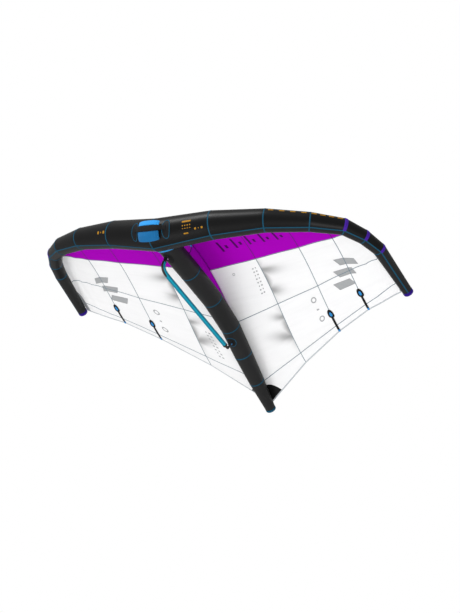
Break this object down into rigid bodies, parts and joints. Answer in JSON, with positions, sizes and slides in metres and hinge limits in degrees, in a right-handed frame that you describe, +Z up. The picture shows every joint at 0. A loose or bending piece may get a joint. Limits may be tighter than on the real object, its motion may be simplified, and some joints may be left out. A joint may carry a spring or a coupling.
{
  "type": "wingfoil wing",
  "caption": "Hand-held inflatable wing: tube leading edge and strut, camber canopy, padded front handle, rigid boom on a hinged socket and inflation valve.",
  "frame": {"origin": "middle of the boom's straight grip, on its centre line, where the rider holds the wing", "axes": "+X along the span to the wing's right half in the picture, +Y aft from the leading edge to the trailing edge, +Z up through the canopy in the flying attitude"},
  "size_m": [2.878, 2.0493, 0.505],
  "materials": {
    "black_sailcloth": "coated sail cloth",
    "magenta_cloth": "ripstop cloth",
    "white_cloth": "ripstop cloth",
    "purple_cloth": "ripstop cloth",
    "indigo_cloth": "coated sail cloth",
    "seam_blue": "seam tape",
    "clear_film": "thin polyurethane film",
    "webbing": "woven webbing",
    "blue_foam": "textured foam",
    "black_rubber": "matt moulded",
    "teal_boom": "coated alloy tube",
    "black_plastic": "moulded",
    "seam_blue_plastic": "moulded",
    "blue_plastic": "moulded",
    "steel": "turned"
  },
  "bodies": {
    "wing": {"batten_inner_left": "black_plastic", "batten_inner_right": "black_plastic", "batten_outer_left": "black_plastic", "batten_outer_right": "black_plastic", "batten_patch_inner_left": "black_rubber", "batten_patch_inner_right": "black_rubber", "batten_patch_outer_left": "black_rubber", "batten_patch_outer_right": "black_rubber", "boom_bracket": "black_plastic", "boom_front_pad": "black_rubber", "boom_pin": "steel", "boom_rear_pad": "black_rubber", "boom_socket": "black_plastic", "canopy_front_left": "magenta_cloth", "canopy_front_right": "magenta_cloth", "canopy_middle_left": "white_cloth", "canopy_middle_right": "white_cloth", "canopy_rear_left": "white_cloth", "canopy_rear_right": "white_cloth", "canopy_web": "purple_cloth", "handle_anchor_left": "black_rubber", "handle_anchor_right": "black_rubber", "inflation_hose": "clear_film", "leading_edge_bladder": "clear_film", "leading_edge_panel_left_1": "black_sailcloth", "leading_edge_panel_left_2": "black_sailcloth", "leading_edge_panel_left_3": "black_sailcloth", "leading_edge_panel_left_4": "black_sailcloth", "leading_edge_panel_left_5": "black_sailcloth", "leading_edge_panel_left_6": "black_sailcloth", "leading_edge_panel_left_7": "black_sailcloth", "leading_edge_panel_right_1": "black_sailcloth", "leading_edge_panel_right_2": "black_sailcloth", "leading_edge_panel_right_3": "black_sailcloth", "leading_edge_panel_right_4": "black_sailcloth", "leading_edge_panel_right_5": "black_sailcloth", "leading_edge_panel_right_6": "black_sailcloth", "leading_edge_panel_right_7": "black_sailcloth", "strut_bladder": "clear_film", "strut_collar": "seam_blue", "strut_end_cap": "indigo_cloth", "strut_panel_1": "black_sailcloth", "strut_panel_2": "black_sailcloth", "strut_panel_3": "black_sailcloth", "strut_panel_4": "black_sailcloth", "strut_panel_5": "black_sailcloth", "strut_panel_6": "black_sailcloth", "tip_cap_left": "indigo_cloth", "tip_cap_right": "indigo_cloth", "trailing_band_left": "white_cloth", "trailing_band_right": "white_cloth", "valve_body": "black_plastic"},
    "boom": {"boom_tube": "teal_boom", "boom_front_elbow": "black_plastic", "boom_rear_hook": "black_plastic"},
    "boom_latch": {"boom_latch": "seam_blue_plastic"},
    "front_handle": {"handle_webbing": "webbing", "handle_pad": "blue_foam"},
    "valve_lock": {"valve_lock": "black_plastic"},
    "valve_cap": {"valve_cap": "blue_plastic"}
  },
  "joints": [
    {"name": "boom_swing", "type": "hinge", "parent": "wing", "child": "boom", "pos_m": [0, -0.5223, 0.0242], "axis": [-1, 0, 0], "range_deg": [0, 45]},
    {"name": "latch_pull", "type": "slide", "parent": "wing", "child": "boom_latch", "axis": [1, 0, 0], "range_m": [0, 0.006], "stiffness_N_per_m": 300, "springref_m": -0.006},
    {"name": "handle_rock", "type": "hinge", "parent": "wing", "child": "front_handle", "pos_m": [0, -0.7947, 0.034], "axis": [1, 0, 0], "range_deg": [-5, 5], "stiffness_Nm_per_rad": 1.5},
    {"name": "valve_turn", "type": "hinge", "parent": "wing", "child": "valve_lock", "pos_m": [0.1753, -0.566, 0.1208], "axis": [0, 1, 0], "range_deg": [0, 45]},
    {"name": "cap_open", "type": "hinge", "parent": "valve_lock", "child": "valve_cap", "pos_m": [0.1753, -0.558, 0.1383], "axis": [1, 0, 0], "range_deg": [0, 120]}
  ]
}
